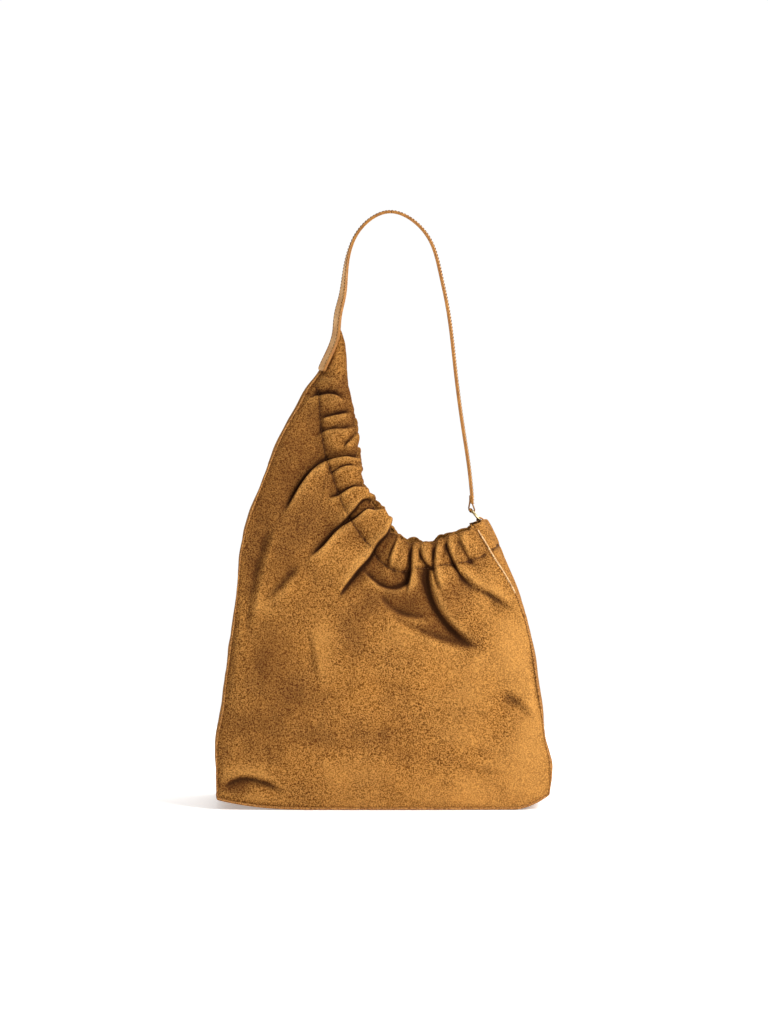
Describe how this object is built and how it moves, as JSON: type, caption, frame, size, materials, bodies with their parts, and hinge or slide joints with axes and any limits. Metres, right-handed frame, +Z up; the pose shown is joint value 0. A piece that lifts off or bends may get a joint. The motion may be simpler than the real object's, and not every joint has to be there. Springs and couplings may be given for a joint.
{
  "type": "hobo bag",
  "caption": "Slouching suede hobo bag with a gathered elastic mouth, side gussets, a stiffened base, a leather shoulder strap on a metal ring and a hanging zip pocket inside.",
  "frame": {"origin": "on the floor under the middle of the base", "axes": "+Z up, -Y out of the front panel, +X from the tall peak towards the ring"},
  "size_m": [0.3533, 0.1464, 0.6179],
  "materials": {
    "suede": "soft tan suede with a short mottled nap",
    "strap_leather": "smooth vegetable-tanned leather, satin",
    "strap_backing": "split leather lining, matt",
    "lining_cloth": "plain-woven cotton",
    "elastic": "woven elastic",
    "stiffener_board": "pressed stiffener board",
    "pale_metal": "polished pale gold plating",
    "zip_tape": "herringbone zip tape",
    "zip_nylon": "moulded nylon coil"
  },
  "bodies": {
    "bag": {"front_panel": "suede", "back_panel": "suede", "left_gusset": "suede", "right_gusset": "suede", "base_panel": "suede", "base_edge_binding": "suede", "front_mouth_facing": "suede", "back_mouth_facing": "suede", "gusset_hem_facing": "suede", "ring_tab": "strap_leather", "strap_peak_end": "strap_leather", "strap_ring_end": "strap_leather", "front_lining": "lining_cloth", "back_lining": "lining_cloth", "left_lining": "lining_cloth", "right_lining": "lining_cloth", "base_lining": "lining_cloth", "inner_pocket": "lining_cloth", "front_mouth_elastic": "elastic", "back_mouth_elastic": "elastic", "base_board": "stiffener_board", "snap_socket": "pale_metal", "snap_stud": "pale_metal", "zip_stops": "pale_metal", "zip_tapes": "zip_tape", "zip_coils": "zip_nylon"},
    "strap": {"strap_leather": "strap_leather", "strap_backing": "strap_backing"},
    "ring": {"ring": "pale_metal"},
    "zip_slider": {"zip_slider": "pale_metal"},
    "zip_pull": {"zip_pull": "pale_metal"}
  },
  "joints": [
    {"name": "strap_swing", "type": "hinge", "parent": "bag", "child": "strap", "pos_m": [0.09351, 0, 0.31831], "axis": [-0.6002, 0, 0.7999], "range_deg": [-80, 80]},
    {"name": "ring_spin", "type": "hinge", "parent": "bag", "child": "ring", "pos_m": [0.09821, 0, 0.29931], "axis": [0.766, 0, 0.6428], "continuous": true},
    {"name": "zip_slide", "type": "slide", "parent": "bag", "child": "zip_slider", "axis": [1, 0, 0], "range_m": [0, 0.074]},
    {"name": "zip_pull_swing", "type": "hinge", "parent": "zip_slider", "child": "zip_pull", "pos_m": [0.00501, 0.02984, 0.22571], "axis": [-1, 0, 0], "range_deg": [0, 165]}
  ]
}
